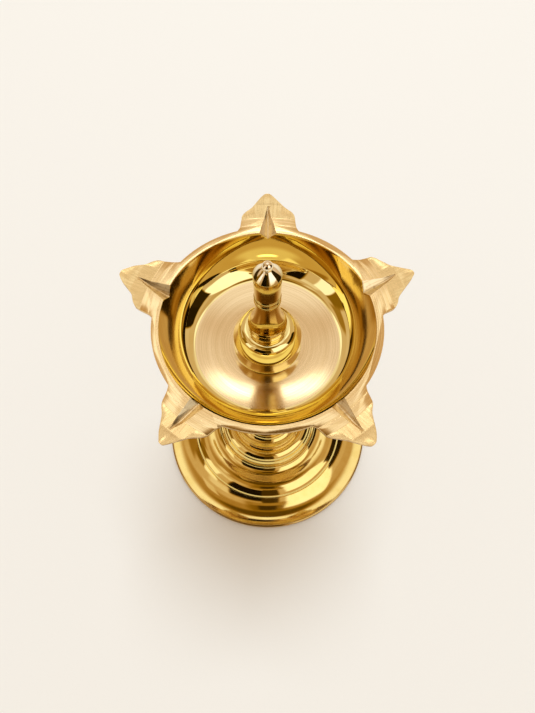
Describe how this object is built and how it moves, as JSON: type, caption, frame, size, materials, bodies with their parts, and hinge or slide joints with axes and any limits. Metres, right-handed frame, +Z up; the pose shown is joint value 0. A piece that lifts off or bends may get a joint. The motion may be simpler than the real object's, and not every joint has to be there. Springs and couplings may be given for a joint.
{
  "type": "standing oil lamp",
  "caption": "Turned brass standing oil lamp: round oil bowl with pointed wick spouts, middle finial, baluster stem and wide stepped foot.",
  "frame": {"origin": "centre of the foot's resting ring, on the surface that the lamp stands on", "axes": "+Z up along the stem; +Y from the centre towards one wick spout; +X to the right of it"},
  "size_m": [0.1306, 0.1306, 0.1912],
  "materials": {
    "polished_brass": "polished, turned",
    "bowl_brass": "polished wall, satin turned floor, brushed rim and spouts",
    "threaded_brass": "cut thread",
    "plain_steel": "dull, as machined"
  },
  "bodies": {
    "foot": {"foot": "polished_brass"},
    "washer": {"foot_washer": "plain_steel"},
    "nut": {"foot_nut": "plain_steel"},
    "stem_screw": {"stem_stud": "threaded_brass"},
    "stem": {"stem": "polished_brass"},
    "bowl_screw": {"bowl_stud": "threaded_brass"},
    "bowl": {"oil_bowl": "bowl_brass"},
    "finial_screw": {"finial_stud": "threaded_brass"},
    "finial": {"finial": "polished_brass"}
  },
  "joints": [
    {"name": "nut_drop", "type": "slide", "parent": "foot", "child": "washer", "axis": [0, 0, -1], "range_m": [0, 0.01]},
    {"name": "nut_unscrew", "type": "hinge", "parent": "washer", "child": "nut", "pos_m": [0, 0, 0.021], "axis": [0, 0, -1], "range_deg": [0, 2880]},
    {"name": "stem_rise", "type": "slide", "parent": "foot", "child": "stem_screw", "axis": [0, 0, 1], "range_m": [0, 0.01]},
    {"name": "stem_unscrew", "type": "hinge", "parent": "stem_screw", "child": "stem", "pos_m": [0, 0, 0.0301], "axis": [0, 0, 1], "range_deg": [0, 2880]},
    {"name": "bowl_rise", "type": "slide", "parent": "stem", "child": "bowl_screw", "axis": [0, 0, 1], "range_m": [0, 0.01]},
    {"name": "bowl_unscrew", "type": "hinge", "parent": "bowl_screw", "child": "bowl", "pos_m": [0, 0, 0.1183], "axis": [0, 0, 1], "range_deg": [0, 2880]},
    {"name": "finial_rise", "type": "slide", "parent": "bowl", "child": "finial_screw", "axis": [0, 0, 1], "range_m": [0, 0.012]},
    {"name": "finial_unscrew", "type": "hinge", "parent": "finial_screw", "child": "finial", "pos_m": [0, 0, 0.1468], "axis": [0, 0, 1], "range_deg": [0, 4320]}
  ],
  "couplings": [
    {"joint": "nut_unscrew", "follows": "nut_drop", "rad_per_m": 5026.5},
    {"joint": "stem_unscrew", "follows": "stem_rise", "rad_per_m": 5026.5},
    {"joint": "bowl_unscrew", "follows": "bowl_rise", "rad_per_m": 5026.5},
    {"joint": "finial_unscrew", "follows": "finial_rise", "rad_per_m": 6283.1}
  ]
}
